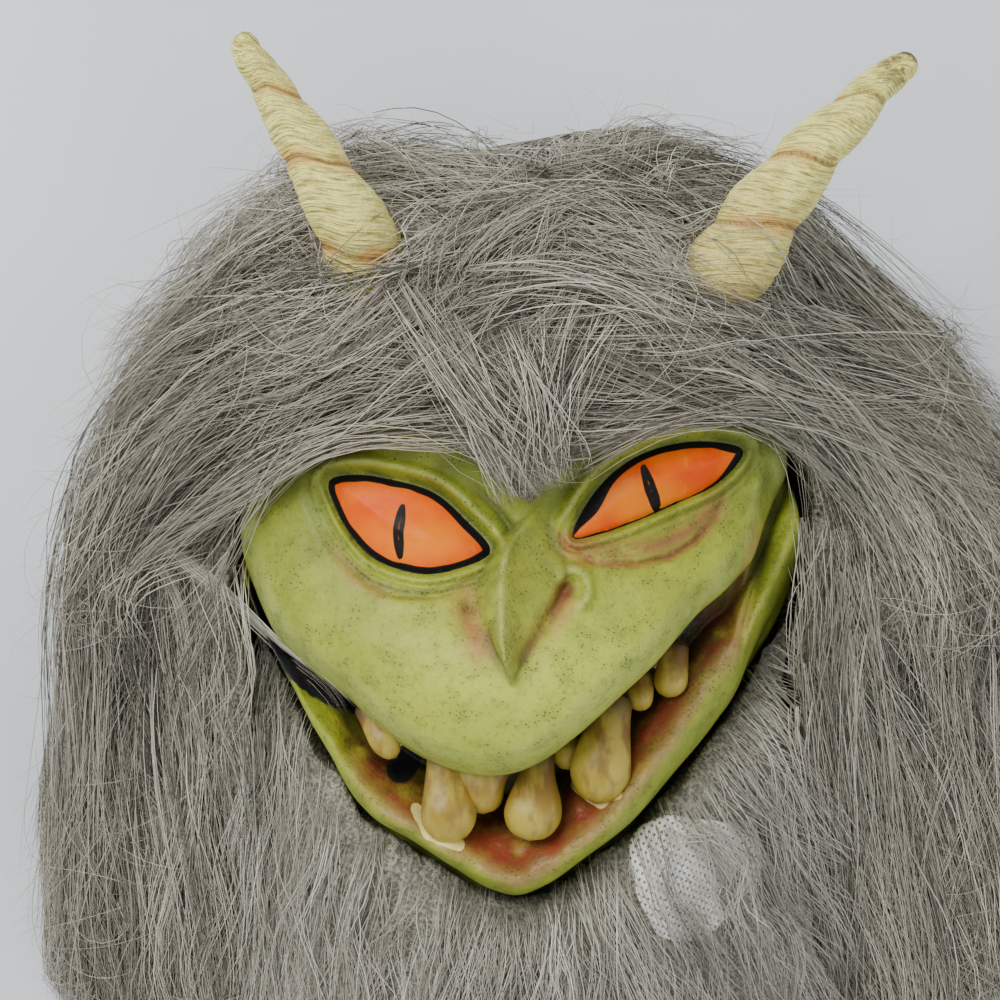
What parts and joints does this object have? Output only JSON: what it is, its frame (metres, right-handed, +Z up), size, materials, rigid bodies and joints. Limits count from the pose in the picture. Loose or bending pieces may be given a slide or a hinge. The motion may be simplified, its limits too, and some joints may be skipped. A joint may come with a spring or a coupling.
{
  "type": "rubber goblin halloween mask",
  "caption": "Full-head rubber goblin mask, hollow and open at the neck, with painted eyes, cast teeth, twisted horns, a long wig and a fur beard.",
  "frame": {"origin": "middle of the flat rest under the hair at the back of the head, on the table that the mask lies on", "axes": "+X across the face to the picture's right, +Y from the neck opening toward the crown and horns, +Z up from the table through the nose"},
  "size_m": [0.5104, 0.5176, 0.2261],
  "materials": {
    "green_rubber": "matte painted latex rubber",
    "horn_left_rubber": "pale yellow painted latex rubber with brown in the grooves",
    "horn_right_rubber": "pale yellow painted latex rubber with brown in the grooves",
    "wig_hair": "long loose grey artificial hair",
    "beard_fur": "lighter grey artificial fur on a knit backing"
  },
  "bodies": {
    "root": {"mask": "green_rubber", "horn_left": "horn_left_rubber", "horn_right": "horn_right_rubber", "wig": "wig_hair", "beard": "beard_fur"}
  },
  "joints": []
}
